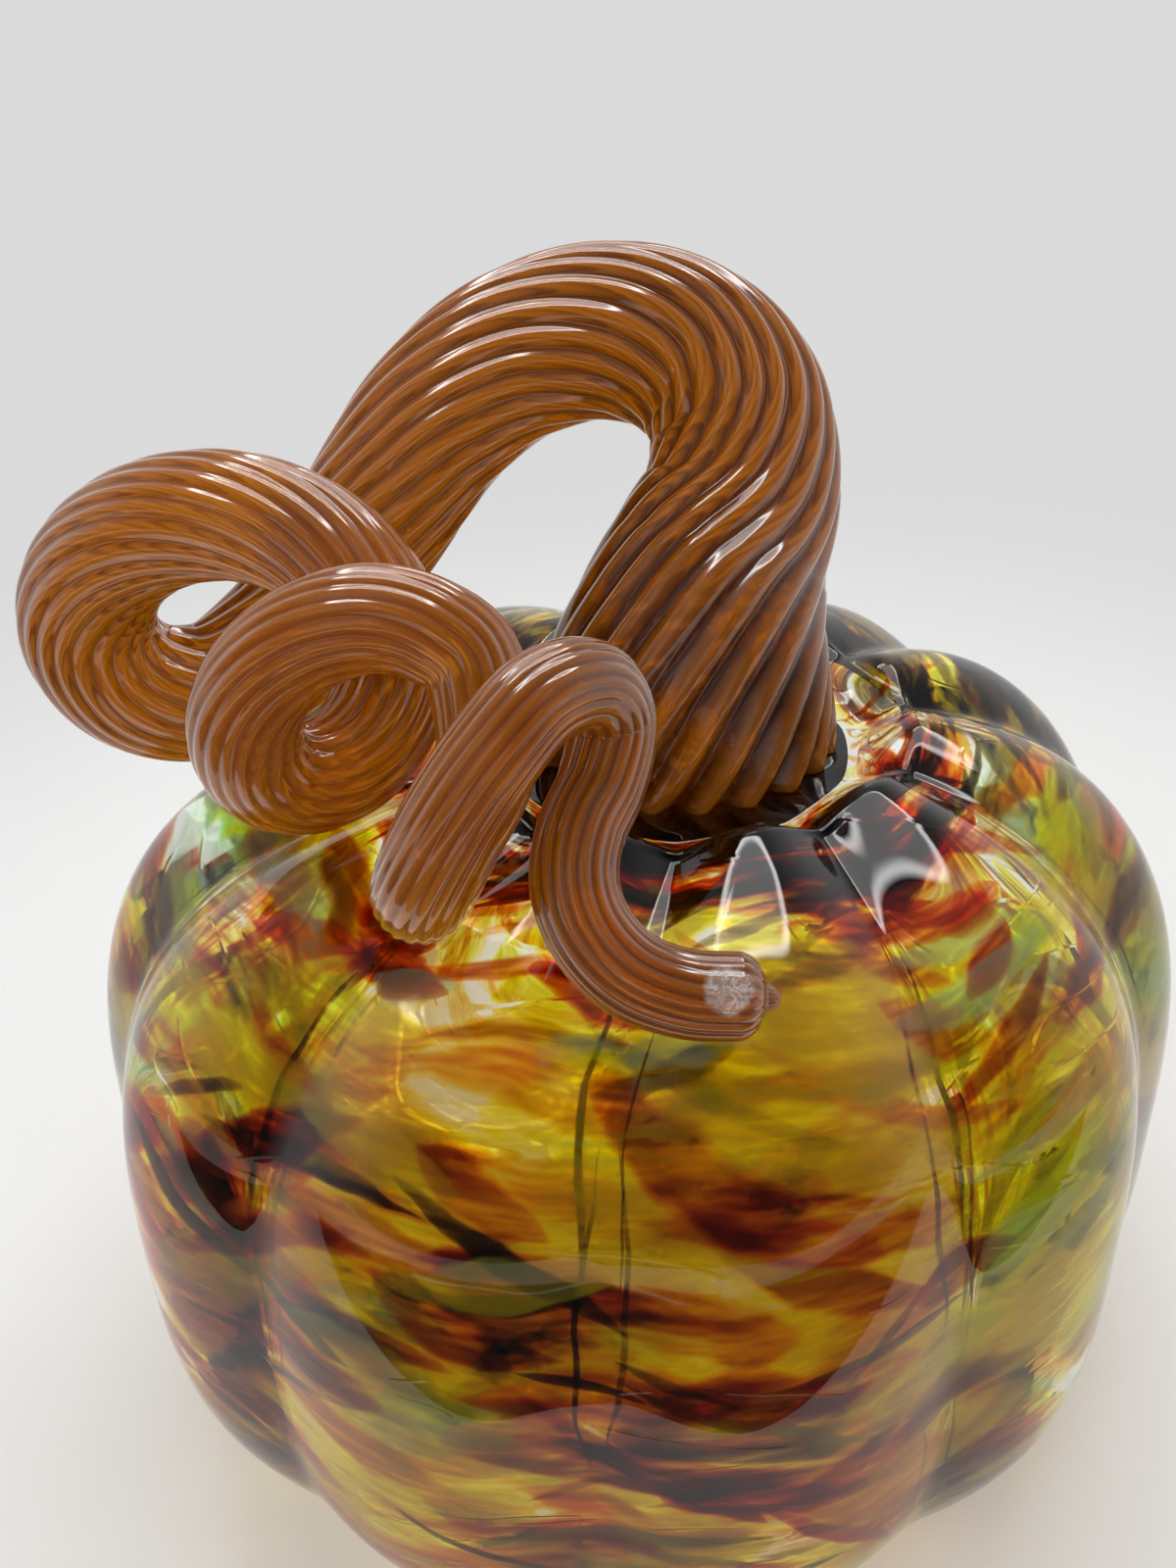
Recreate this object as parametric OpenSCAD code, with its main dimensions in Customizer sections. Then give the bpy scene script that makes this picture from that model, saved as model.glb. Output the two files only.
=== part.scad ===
// Hand-blown glass pumpkin: a lobed hollow body of clear glass over a layer of
// coloured chips, with a ribbed brown stem that arches over and curls to the front.
// Millimetres. The origin is the centre of the flat base, +Z is up and the front faces -Y.

/* [Body] */
// Width across the lobes
body_w = 152; // [120:1:200]
// Height of the widest ring above the base
belly_h = 51; // [38:1:70]
// Height of the lobe tops above the widest ring
shoulder_h = 56; // [42:1:76]
// Width of the flat base
base_w = 84; // [60:1:100]
// Fullness of the belly below the widest ring
belly_full = 3.1; // [2.4:0.1:3.8]
// Fullness of the shoulder above the widest ring
shoulder_full = 3.2; // [2.4:0.1:3.8]
// Number of lobes
lobes = 11; // [8:1:14]
// Depth of the valleys between the lobes
valley_depth = 4; // [1:0.5:6]
// Lean of the lobe tops to the right
lean_right = 3; // [0:0.5:6]
// Lean of the lobe tops to the back
lean_back = 4.5; // [0:0.5:6]

/* [Stem seat] */
// Depth of the hollow around the stem below the lobe tops
hollow_depth = 6; // [3:0.5:10]
// Width of the hollow's slope, from its rim to the flat seat
hollow_slope = 9; // [6:0.5:14]
// Flat rim left around the stem's foot
seat_margin = 2.5; // [1:0.5:4]
// Shift of the seat to the right of the lobes' middle
seat_shift = 6; // [0:0.5:8]
// Width of the neck opening that the stem closes
neck_w = 18; // [8:1:26]

/* [Glass layers] */
// Wall of the clear casing outside the colour
casing_wall = 2.4; // [1.6:0.1:3.2]
// Room for the coloured chips between casing and bubble
colour_room = 1; // [0.6:0.1:1.4]
// Wall of the clear inner bubble
bubble_wall = 2.2; // [1.4:0.1:3]
// Clearance of a chip to the glass on each side
chip_clearance = 0.12; // [0.08:0.02:0.2]

/* [Colour chips] */
// Bands of chips from the base to the hollow
chip_bands = 8; // [4:1:8]
// Chips in one band
chips_per_band = 13; // [8:1:15]
// Space between two chips, as a share of one grid step
chip_space = 0.12; // [0.06:0.02:0.3]
// Pattern of the scattered colours
scatter = 8; // [1:1:40]

/* [Stem] */
// Width of the stem's foot on its seat
foot_w = 42; // [32:1:46]
// Width of the stem above the foot
stem_w = 28.5; // [20:0.5:30]
// Width of the stem at its tip
tip_w = 8.6; // [6:0.2:10]
// Length over which the foot narrows into the stem
foot_length = 23; // [14:1:28]
// How fast the stem thins out along its length
stem_taper = 1.7; // [1.1:0.05:2]
// Number of ribs around the stem
stem_ribs = 20; // [12:1:22]
// Depth of the grooves between the ribs where the stem is thickest
groove_depth = 1.3; // [0.4:0.1:1.8]
// Turns that the ribs make around the stem from foot to tip
rib_turns = 1.7; // [0:0.1:4]

/* [Curls] */
// Half width of the first curl
first_curl_w = 14.5; // [12:0.5:18]
// Half height of the first curl
first_curl_h = 12.5; // [11:0.5:16]
// Half width of the second curl
second_curl_w = 8.5; // [7:0.5:12]
// Half height of the second curl
second_curl_h = 10; // [8:0.5:13]

/* [Hidden] */
// Grid steps around one lobe, so that a crest and a valley fall on the grid
steps_per_lobe = 4;
columns = lobes * steps_per_lobe;
// Turn of the whole lobe pattern, which puts a valley a little left of the front
lobe_turn = -4;
// Share of the valley's depth that is gone at the inside of the wall
inner_calm = 0.35;
// Share of the valley's depth that is left at the flat base
base_valley = 0.15;
wall = casing_wall + colour_room + bubble_wall;
half_w = body_w / 2;
seat_r = foot_w / 2 + seat_margin;
rim_r = seat_r + hollow_slope;
neck_r = neck_w / 2;
top_z = belly_h + shoulder_h;
belly_drop = belly_h / pow(1 - pow(base_w / body_w, belly_full), 1 / belly_full);
belly_start = -asin(pow(belly_h / belly_drop, belly_full / 2));
shoulder_end = acos(pow(rim_r / half_w, shoulder_full / 2));
seat_z = shoulder_z(seat_r) - hollow_depth;

belly_rows = 8;
shoulder_rows = 8;
hollow_rows = 4;
last_row = belly_rows + shoulder_rows + hollow_rows;
first_chip_row = 2;
rows_per_band = 2;
// Grid steps by which each band starts further round than the one below
band_turn = 3;
// Most that the end of a chip strays, as a share of one chip
chip_stray = 0.6;

// Route of the stem from its seat: the foot, then the arch, which leans back and to the right
foot_shift = seat_margin * [0.4, 0.8];
arch_route = [[foot_shift[0], foot_shift[1], 0], [1.1, 2.2, 4], [1.6, 3, 8], [2.6, 4.6, 12], [4.2, 7, 16.5],
    [6.6, 10.6, 22], [10.3, 16, 30.5], [9.5, 21.5, 40], [2.5, 24.5, 47], [-8.5, 23, 50], [-20.5, 18, 48],
    [-30, 11.5, 42], [-37, 5.5, 34], [-44, 1, 25.5], [-51.5, -3, 18.3], [-59.5, -6.5, 14.2],
    [-67.5, -8.8, 15.8]];
// Route of the third, tight curl and of the tail that ends over the front shoulder
tail_route = [[-22, -42, 22], [-25.5, -46, 16], [-28, -52.5, 14], [-27.5, -58.5, 18.5], [-24, -59, 26],
    [-20, -56.5, 31.3], [-15.5, -52, 34.6], [-10.8, -47.6, 33.6], [-8.8, -46.2, 28.6], [-10, -49.5, 23.8],
    [-12.3, -54, 20.8], [-13, -58, 17.5], [-11.5, -61, 14], [-8, -63.5, 11], [-3, -64.5, 9.2], [2, -64.5, 8.6]];
// Centres of the two wide curls, from the seat
first_curl = [-51.5, -17.5, 27.5];
second_curl = [-32.5, -40, 26.5];
curl_from = 60;
curl_to = 625;
curl_step = 30;
// Front-to-back slant of the curls
curl_tilt = 3.6;
curl_yaw = [-1, 4];
rings_per_step = 2;
// How far the ribs' turns gather towards the foot, where 1 spreads them evenly
twist_gather = 1.5;
// Steps of the round end at the tip, in degrees from its rim
tip_steps = [30, 60, 80];

// Colours of the chips, in the order of their nodes
chip_colours = ["amber", "red", "yellow", "green", "dark"];
amber = 0;
red = 1;
yellow = 2;
green = 3;
dark = 4;
// Bands next to the stem
stem_bands = 2;

// Outline of the body: each row holds radius, height, outward direction, share of the
// valley depth and share of the seat's shift

function lerp(a, b, t) = a + (b - a) * t;

function belly_point(a) = [
    half_w * pow(cos(a), 2 / belly_full),
    belly_h - belly_drop * pow(abs(sin(a)), 2 / belly_full)];

function shoulder_z(r) = belly_h + shoulder_h * pow(1 - pow(r / half_w, shoulder_full), 1 / shoulder_full);

function shoulder_point(a) = [
    half_w * pow(cos(a), 2 / shoulder_full),
    belly_h + shoulder_h * pow(abs(sin(a)), 2 / shoulder_full)];

function hollow_point(t) =
    let (r = lerp(rim_r, seat_r, t))
    [r, shoulder_z(r) - hollow_depth * (1 - cos(180 * t)) / 2];

function outline(row) =
    row < belly_rows ? belly_point(belly_start * (1 - row / belly_rows)) :
    row <= belly_rows + shoulder_rows ? shoulder_point(shoulder_end * (row - belly_rows) / shoulder_rows) :
    hollow_point((row - belly_rows - shoulder_rows) / hollow_rows);

function outward(row) =
    let (a = outline(max(0, row - 1)), b = outline(min(last_row, row + 1)), along = b - a)
    row == last_row ? [0, 1] : [along[1], -along[0]] / norm(along);

function valley_share(row) =
    row < belly_rows ? lerp(base_valley, 1, row / belly_rows) :
    row <= belly_rows + shoulder_rows ? 1 :
    (last_row - row) / hollow_rows;

function shift_share(row) = pow(max(0, min(1, (row - belly_rows) / shoulder_rows)), 3);

rows = [for (i = [0:last_row]) concat(outline(i), outward(i), [valley_share(i), shift_share(i)])];

// Sideways place of the body's middle at a height, with a share of the seat's shift
function middle(z, share) =
    let (lean = pow(max(0, z) / top_z, 3))
    [lean_right * lean + seat_shift * share, lean_back * lean];

seat_middle = middle(seat_z, 1);

// A point on the body's wall, at a depth below its outside; the lowest row is flat
function wall_point(row, column, depth) =
    let (s = rows[row], a = column * 360 / columns,
        crease = 1 - abs(sin(180 * column / steps_per_lobe)),
        groove = valley_depth * s[4] * (1 - inner_calm * depth / wall) * crease,
        r = s[0] - s[2] * (depth + groove), z = row == 0 ? depth : s[1] - s[3] * (depth + groove),
        turn = a + lobe_turn, m = middle(s[1], s[5]))
    [m[0] + r * sin(turn), m[1] - r * cos(turn), z];

function wall_ring(row, depth) = [for (c = [0:columns - 1]) wall_point(row, c, depth)];

function neck_ring(depth) = [for (c = [0:columns - 1])
    let (turn = c * 360 / columns + lobe_turn)
    [seat_middle[0] + neck_r * sin(turn), seat_middle[1] - neck_r * cos(turn), seat_z - depth]];

// Closed solid through a stack of rings with equal counts; end lists the triangles of its flat ends
module ring_stack(rings, end) {
    n = len(rings[0]);
    m = len(rings);
    top = (m - 1) * n;
    sides = [for (i = [0:m - 2], j = [0:n - 1])
        let (k = (j + 1) % n, a = i * n + j, b = i * n + k, c = a + n, d = b + n) each [[a, d, b], [a, c, d]]];
    last = [for (f = end) [f[0] + top, f[2] + top, f[1] + top]];
    polyhedron([for (r = rings) each r], concat(end, sides, last), convexity = 8);
}

// Flat end of a lobed ring: one large triangle in the middle and a fan to each third of the rim
function lobed_end(n) =
    let (corners = [0, floor(n / 3), floor(2 * n / 3), n])
    concat([[corners[0], corners[1], corners[2]]],
        [for (t = [0:2], k = [corners[t] + 1:1:corners[t + 1] - 1]) [corners[t], k, (k + 1) % n]]);

// Flat end of a ribbed ring: a fan inside the grooves and one triangle for each rib
function ribbed_end(n) = concat(
    [for (k = [3:2:n - 3]) [1, k, k + 2]],
    [for (k = [1:2:n - 1]) [k, (k + 1) % n, (k + 2) % n]]);

// Depth of the bubble's outside: it meets the casing at the base and at the neck
function bubble_depth(row) = casing_wall + (row < 1 || row == last_row ? 0 : colour_room);

module casing() {
    color([0.86, 0.9, 0.84, 0.4])
    ring_stack(concat(
        [for (i = [0:last_row]) wall_ring(i, 0)],
        [neck_ring(0), neck_ring(casing_wall)],
        [for (i = [last_row:-1:0]) wall_ring(i, casing_wall)]), lobed_end(columns));
}

module bubble() {
    color([0.9, 0.92, 0.86, 0.4])
    ring_stack(concat(
        [for (i = [0:last_row]) wall_ring(i, bubble_depth(i))],
        [neck_ring(casing_wall), neck_ring(casing_wall + bubble_wall)],
        [for (i = [last_row:-1:0]) wall_ring(i, bubble_depth(i) + bubble_wall)]), lobed_end(columns));
}

// Coloured chips: each band is cut into runs of unequal length, and each run takes one colour.
// The bands next to the stem hold only red and dark chips.

function scatter_at(i, j) =
    let (v = sin(i * 127.1 + j * 311.7 + scatter * 74.7) * 437.58) v - floor(v);

function run_start(band, j) =
    let (stray = chip_stray * (scatter_at(band, j % chips_per_band) - 0.5))
    round((j + stray) * columns / chips_per_band + band_turn * band);

function chip_colour(band, j) =
    let (v = scatter_at(band + 40, j))
    band < chip_bands - stem_bands ? floor(v * len(chip_colours)) :
    v < 0.4 ? red : dark;

function between(row, column, depth) =
    let (i = floor(row), j = floor(column), u = row - i, v = column - j,
        a = lerp(wall_point(i, j, depth), wall_point(i, j + 1, depth), v))
    u == 0 ? a : lerp(a, lerp(wall_point(i + 1, j, depth), wall_point(i + 1, j + 1, depth), v), u);

module chip(band, j) {
    low = first_chip_row + band * rows_per_band;
    from = run_start(band, j);
    to = run_start(band, j + 1);
    across = concat([from + chip_space], [for (c = [from + 1:1:to - 1]) c], [to - chip_space]);
    up = concat([low + chip_space], [for (r = [1:1:rows_per_band - 1]) low + r], [low + rows_per_band - chip_space]);
    n = len(across);
    m = len(up);
    outside = casing_wall + chip_clearance;
    inside = casing_wall + colour_room - chip_clearance;
    points = [for (depth = [outside, inside], r = up, c = across) between(r, c, depth)];
    function at(layer, r, c) = layer * n * m + r * n + c;
    faces = [for (r = [0:m - 2], c = [0:n - 2]) each [
        [at(0, r, c), at(0, r + 1, c + 1), at(0, r, c + 1)], [at(0, r, c), at(0, r + 1, c), at(0, r + 1, c + 1)],
        [at(1, r, c), at(1, r, c + 1), at(1, r + 1, c + 1)], [at(1, r, c), at(1, r + 1, c + 1), at(1, r + 1, c)]]];
    ends = [for (r = [0:m - 2]) each [
        [at(0, r, 0), at(1, r, 0), at(1, r + 1, 0)], [at(0, r, 0), at(1, r + 1, 0), at(0, r + 1, 0)],
        [at(0, r, n - 1), at(0, r + 1, n - 1), at(1, r + 1, n - 1)],
        [at(0, r, n - 1), at(1, r + 1, n - 1), at(1, r, n - 1)]]];
    rims = [for (c = [0:n - 2]) each [
        [at(0, 0, c), at(0, 0, c + 1), at(1, 0, c + 1)], [at(0, 0, c), at(1, 0, c + 1), at(1, 0, c)],
        [at(0, m - 1, c), at(1, m - 1, c), at(1, m - 1, c + 1)],
        [at(0, m - 1, c), at(1, m - 1, c + 1), at(0, m - 1, c + 1)]]];
    polyhedron(points, concat(faces, ends, rims), convexity = 4);
}

module chips(colour) {
    for (band = [0:chip_bands - 1], j = [0:chips_per_band - 1])
        if (chip_colour(band, j) == colour) chip(band, j);
}

module chips_amber() {
    color([0.85, 0.45, 0.05]) chips(amber);
}

module chips_red() {
    color([0.7, 0.12, 0.04]) chips(red);
}

module chips_yellow() {
    color([0.9, 0.85, 0.2]) chips(yellow);
}

module chips_green() {
    color([0.65, 0.85, 0.55]) chips(green);
}

module chips_dark() {
    color([0.15, 0.14, 0.1]) chips(dark);
}

// Stem: rings swept along a smooth curve through the route

function curl_point(a) =
    let (t = a / 360 - 0.5, c = lerp(first_curl, second_curl, t), w = lerp(first_curl_w, second_curl_w, t),
        h = lerp(first_curl_h, second_curl_h, t), yaw = lerp(curl_yaw[0], curl_yaw[1], t))
    c + [-w * sin(a), -curl_tilt * cos(a) - yaw * sin(a), -h * cos(a)];

route = concat(arch_route, [for (a = [curl_from:curl_step:curl_to]) curl_point(a)], tail_route);

function smooth(p, q, r, s, t) = 0.5 * (2 * q + (r - p) * t + (2 * p - 5 * q + 4 * r - s) * t * t
    + (3 * q - p - 3 * r + s) * t * t * t);

function route_at(i) = route[max(0, min(len(route) - 1, i))];

path = concat(
    [for (i = [0:len(route) - 2], k = [0:rings_per_step - 1])
        smooth(route_at(i - 1), route_at(i), route_at(i + 1), route_at(i + 2), k / rings_per_step)],
    [route_at(len(route) - 1)]);
path_last = len(path) - 1;

function lengths(i, sum) = i > path_last ? [] :
    let (next = i == 0 ? 0 : sum + norm(path[i] - path[i - 1])) concat([next], lengths(i + 1, next));

run = lengths(0, 0);

// Direction that each ring faces: straight up on the seat, along the path past the foot
function direction(i) =
    let (along = path[min(path_last, i + 1)] - path[max(0, i - 1)],
        d = lerp([0, 0, 1], along / norm(along), min(1, run[i] / foot_length)))
    d / norm(d);

// Side direction of each ring, carried along the path without twisting
function carried(i, side) =
    let (d = direction(i), s = side - d * (side * d), unit = s / norm(s))
    i == path_last ? [unit] : concat([unit], carried(i + 1, unit));

sides = carried(0, [1, 0, 0]);

function stem_radius(s) =
    let (thin = tip_w + (stem_w - tip_w) * pow(max(0, 1 - s / run[path_last]), stem_taper))
    (thin + (foot_w - stem_w) * exp(-pow(s / foot_length, 2))) / 2;

function stem_ring(i, forward, share) =
    let (d = direction(i), u = sides[i], v = cross(d, u), r = stem_radius(run[i]) * share,
        twist = 360 * rib_turns * (1 - pow(max(0, 1 - run[i] / run[path_last]), twist_gather)))
    [for (k = [0:2 * stem_ribs - 1])
        let (a = 180 * k / stem_ribs + twist, q = r * (k % 2 == 0 ? 1 : 1 - 2 * groove_depth / stem_w))
        path[i] + d * forward + u * q * cos(a) + v * q * sin(a)];

module stem() {
    color([0.45, 0.24, 0.1])
    translate([seat_middle[0], seat_middle[1], seat_z])
    ring_stack(concat(
        [for (i = [0:path_last]) stem_ring(i, 0, 1)],
        [for (t = tip_steps) stem_ring(path_last, tip_w / 2 * sin(t), cos(t))]), ribbed_end(2 * stem_ribs));
}

casing();
chips_amber();
chips_red();
chips_yellow();
chips_green();
chips_dark();
bubble();
stem();
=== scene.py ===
import itertools
from math import acos, asin, cos, pi, radians, sin

import bpy
import numpy as np
from mathutils import Matrix, Vector


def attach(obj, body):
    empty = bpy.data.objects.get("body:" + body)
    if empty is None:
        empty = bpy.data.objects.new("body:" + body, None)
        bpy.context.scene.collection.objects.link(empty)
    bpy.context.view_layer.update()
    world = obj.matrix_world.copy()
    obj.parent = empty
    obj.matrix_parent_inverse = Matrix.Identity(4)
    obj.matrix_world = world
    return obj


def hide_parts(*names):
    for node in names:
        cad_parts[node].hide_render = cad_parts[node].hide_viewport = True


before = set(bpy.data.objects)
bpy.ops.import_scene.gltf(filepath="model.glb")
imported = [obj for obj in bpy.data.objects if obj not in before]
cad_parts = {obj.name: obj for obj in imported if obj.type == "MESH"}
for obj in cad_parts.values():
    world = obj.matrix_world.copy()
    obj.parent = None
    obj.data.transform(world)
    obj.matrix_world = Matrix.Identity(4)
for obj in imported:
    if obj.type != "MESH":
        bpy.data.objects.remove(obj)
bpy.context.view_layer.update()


# Bubble: the first gather, clear glass blown hollow. It carries the colour and is fused to it all over.
# Its shape is the body's own rule: a superellipse of belly and shoulder with a hollow for the stem,
# turned round, leaning a little, and drawn in along eleven valleys.
body_half_w = 0.076
belly_h = 0.051
shoulder_h = 0.056
base_half_w = 0.042
belly_full = 3.1
shoulder_full = 3.2
hollow_depth = 0.006
rim_r = 0.0325
seat_r = 0.0235
neck_r = 0.009
lean = (0.003, 0.0045)
seat_shift = 0.006
lobes = 11
lobe_turn = radians(-4)
valley_depth = 0.004
valley_round = 0.16
base_valley = 0.15
inner_calm = 0.95
# The wall's three layers, from outside to inside
casing_wall = 0.0024
colour_room = 0.001
bubble_wall = 0.0022
body_wall = casing_wall + colour_room + bubble_wall
# Rows from base to seat, and how finely the wall is drawn
belly_rows = 8
shoulder_rows = 8
hollow_rows = 4
seat_row = belly_rows + shoulder_rows + hollow_rows
wall_columns = 352
low_colour = (0.006, 0.030)
edge_run = 0.006
outer_steps = 70
inner_steps = 150
crest_steps = 8001
even_steps = 2001
merge_gap = 1e-6
# Clear glass: its tint, which is deeper near the base, its waves and its cords
bubble_tint = (0.975, 0.98, 0.955)
low_tint = (0.88, 0.73, 0.36)
glass_bend = 1.5
wave_height = 0.0003
wave_scale = 55.0
melt_scale = 38.0
melt_squeeze = (1.0, 1.0, 3.0)
melt_sharpness = 90.0
melt_height = 0.05
haze_scale = 90.0
haze_range = (0.35, 0.8)
haze_least = 0.985

belly_drop = belly_h / (1 - (base_half_w / body_half_w) ** belly_full) ** (1 / belly_full)
belly_start = asin((belly_h / belly_drop) ** (belly_full / 2))
shoulder_end = acos((rim_r / body_half_w) ** (shoulder_full / 2))


def crest_line(rows):
    """Radius and height along the crest of a lobe, from the base over belly and shoulder to the seat."""
    belly_turn = belly_start * (1 - np.clip(rows / belly_rows, 0, 1))
    shoulder_turn = shoulder_end * np.clip((rows - belly_rows) / shoulder_rows, 0, 1)
    slide = np.clip((rows - belly_rows - shoulder_rows) / hollow_rows, 0, 1)
    in_belly = rows < belly_rows
    in_hollow = slide > 0
    radius = np.where(in_belly, np.cos(belly_turn) ** (2 / belly_full),
                      np.cos(shoulder_turn) ** (2 / shoulder_full)) * body_half_w
    height = belly_h + np.where(in_belly, -belly_drop * np.sin(belly_turn) ** (2 / belly_full),
                                shoulder_h * np.sin(shoulder_turn) ** (2 / shoulder_full))
    hollow_r = rim_r + (seat_r - rim_r) * slide
    dome_z = belly_h + shoulder_h * (1 - (hollow_r / body_half_w) ** shoulder_full) ** (1 / shoulder_full)
    hollow_z = dome_z - hollow_depth * (1 - np.cos(pi * slide)) / 2
    return np.where(in_hollow, hollow_r, radius), np.where(in_hollow, hollow_z, height)


fine_rows = np.linspace(0, seat_row, crest_steps)
fine_r, fine_z = crest_line(fine_rows)
fine_run = np.concatenate([[0], np.cumsum(np.hypot(np.diff(fine_r), np.diff(fine_z)))])
crest_length = fine_run[-1]
seat_z = fine_z[-1]
top_z = belly_h + shoulder_h
fine_even = np.linspace(0, crest_length, even_steps)
even_r = np.interp(fine_even, fine_run, fine_r)
even_z = np.interp(fine_even, fine_run, fine_z)
slope_r = np.gradient(even_r, fine_even)
slope_z = np.gradient(even_z, fine_even)


def wall_line(run, depth):
    """The crest line at a depth in the wall, with its push into the valleys and the lean's offset."""
    rows = np.interp(run, fine_run, fine_rows)
    crest_z = np.interp(run, fine_even, even_z)
    out_r = np.interp(run, fine_even, slope_z)
    out_z = -np.interp(run, fine_even, slope_r)
    on_belly = np.clip(rows / belly_rows, 0, 1)
    in_hollow = np.clip((rows - belly_rows - shoulder_rows) / hollow_rows, 0, 1)
    valley = (base_valley + (1 - base_valley) * on_belly) * (1 - in_hollow)
    groove = valley_depth * valley * (1 - inner_calm * depth / body_wall)
    height = np.maximum(crest_z - out_z * depth, np.minimum(depth, seat_z / 2))
    above_base = np.clip((height - depth) / valley_depth, 0, 1)
    lean_share = (crest_z / top_z) ** 3
    shift_share = np.clip((rows - belly_rows) / shoulder_rows, 0, 1) ** 3
    return {
        "radius": np.interp(run, fine_even, even_r) - out_r * depth,
        "height": height,
        "push_r": -out_r * groove,
        "push_z": -out_z * groove * above_base,
        "middle_x": lean[0] * lean_share + seat_shift * shift_share,
        "middle_y": lean[1] * lean_share,
        "out_r": out_r,
        "out_z": out_z,
    }


def join(tree, value, socket):
    """Sets a socket to a number, or links it to a field or to another node's output."""
    if isinstance(value, Field):
        value = value.socket
    if isinstance(value, bpy.types.NodeSocket):
        tree.links.new(value, socket)
    else:
        socket.default_value = value


def put(tree, kind, inputs=None, **settings):
    """Adds a node. The inputs are given by a socket's name or number."""
    node = tree.nodes.new(kind)
    for name, value in settings.items():
        setattr(node, name, value)
    for key, value in (inputs or {}).items():
        join(tree, value, node.inputs[key])
    return node


class Field:
    """A number in a node tree that can be written in a formula."""

    def __init__(self, tree, socket):
        self.tree = tree
        self.socket = socket

    def math(self, operation, *others):
        terms = dict(enumerate((self, *others)))
        return Field(self.tree, put(self.tree, "ShaderNodeMath", terms, operation=operation).outputs[0])

    def __add__(self, other):
        return self.math("ADD", other)

    def __sub__(self, other):
        return self.math("SUBTRACT", other)

    def __rsub__(self, other):
        return (self * -1.0) + other

    def __mul__(self, other):
        return self.math("MULTIPLY", other)

    def __truediv__(self, other):
        return self.math("DIVIDE", other)

    __radd__ = __add__
    __rmul__ = __mul__


def split(tree, vector):
    """The three numbers of a vector."""
    parts = put(tree, "ShaderNodeSeparateXYZ", {0: vector}).outputs
    return [Field(tree, part) for part in parts]


def new_tree(name, inputs):
    """A geometry tree with named inputs, and its input node's sockets by name."""
    tree = bpy.data.node_groups.new(name, "GeometryNodeTree")
    tree.interface.new_socket("Geometry", in_out="OUTPUT", socket_type="NodeSocketGeometry")
    for label, kind in inputs.items():
        tree.interface.new_socket(label, in_out="INPUT", socket_type="NodeSocket" + kind)
    return tree, tree.nodes.new("NodeGroupInput").outputs


def finish_tree(tree, geometry, coats):
    """Ends a tree in Realize Instances and one Set Material for each coat."""
    last = put(tree, "GeometryNodeRealizeInstances", {0: geometry}).outputs[0]
    for material, selection in coats:
        coat = put(tree, "GeometryNodeSetMaterial", {"Geometry": last, "Material": material})
        if selection is not None:
            join(tree, selection, coat.inputs["Selection"])
        last = coat.outputs[0]
    join(tree, last, tree.nodes.new("NodeGroupOutput").inputs[0])


def grid_of(tree, columns, rows):
    """A sheet of points for a tree to place, with each point's column and row."""
    sheet = put(tree, "GeometryNodeMeshGrid", {"Vertices X": columns, "Vertices Y": rows})
    index = Field(tree, put(tree, "GeometryNodeInputIndex").outputs[0])
    column = ((index + 0.5) / rows).math("FLOOR")
    return sheet.outputs["Mesh"], column, index - column * rows


def grown(name, start, tree, values):
    """Runs a tree on a start mesh and returns the result as a plain mesh object."""
    start_object = bpy.data.objects.new(name + "_start", start)
    bpy.context.scene.collection.objects.link(start_object)
    modifier = start_object.modifiers.new("Shape", "NODES")
    modifier.node_group = tree
    for item in tree.interface.items_tree:
        if item.in_out == "INPUT" and item.name in values:
            modifier[item.identifier] = values[item.name]
    shaped = start_object.evaluated_get(bpy.context.evaluated_depsgraph_get())
    mesh = bpy.data.meshes.new_from_object(shaped)
    start_object.modifiers.remove(modifier)
    bpy.data.objects.remove(start_object)
    piece = bpy.data.objects.new(name, mesh)
    bpy.context.scene.collection.objects.link(piece)
    return piece


def point_line(name, points, attributes, joined=True):
    """An open line of points, or loose points, that carry a tree's numbers as attributes."""
    mesh = bpy.data.meshes.new(name)
    edges = [(i, i + 1) for i in range(len(points) - 1)] if joined else []
    mesh.from_pydata([tuple(p) for p in points], edges, [])
    for label, rows in attributes.items():
        rows = np.asarray(rows, np.float32)
        vector = rows.ndim == 2
        layer = mesh.attributes.new(label, "FLOAT_VECTOR" if vector else "FLOAT", "POINT")
        layer.data.foreach_set("vector" if vector else "value", rows.ravel())
    return mesh


def body_line(name, line, **marks):
    """A wall's line as a mesh: radius and height as places, the rest of its numbers as attributes."""
    nothing = np.zeros_like(line["radius"])
    places = np.stack([line["radius"], nothing, line["height"]], 1)
    pairs = {"push": ("push_r", "push_z"), "out": ("out_r", "out_z")}
    values = {label: np.stack([line[r], nothing, line[z]], 1) for label, (r, z) in pairs.items()}
    values["middle"] = np.stack([line["middle_x"], line["middle_y"], nothing], 1)
    return point_line(name, places, {**values, **marks})


def marked(tree, label, kind="FLOAT"):
    """A number or vector that the points carry under a name."""
    return put(tree, "GeometryNodeInputNamedAttribute", {"Name": label}, data_type=kind).outputs[0]


def mark(tree, geometry, label, value, kind="FLOAT"):
    """Lets the points carry a number or vector under a name."""
    return put(tree, "GeometryNodeStoreNamedAttribute", {
        "Geometry": geometry, "Name": label, "Value": value}, data_type=kind, domain="POINT").outputs[0]


def line_reader(tree, line, row):
    """Reads a wall's line at a row: a function from an attribute's name to its value there."""
    def on_line(label, kind="FLOAT_VECTOR"):
        if label == "position":
            value = put(tree, "GeometryNodeInputPosition").outputs[0]
        else:
            value = marked(tree, label, kind)
        pick = put(tree, "GeometryNodeSampleIndex", data_type=kind, domain="POINT")
        join(tree, line, pick.inputs["Geometry"])
        join(tree, value, pick.inputs["Value"])
        join(tree, row, pick.inputs["Index"])
        return pick.outputs[0]

    return on_line


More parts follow.
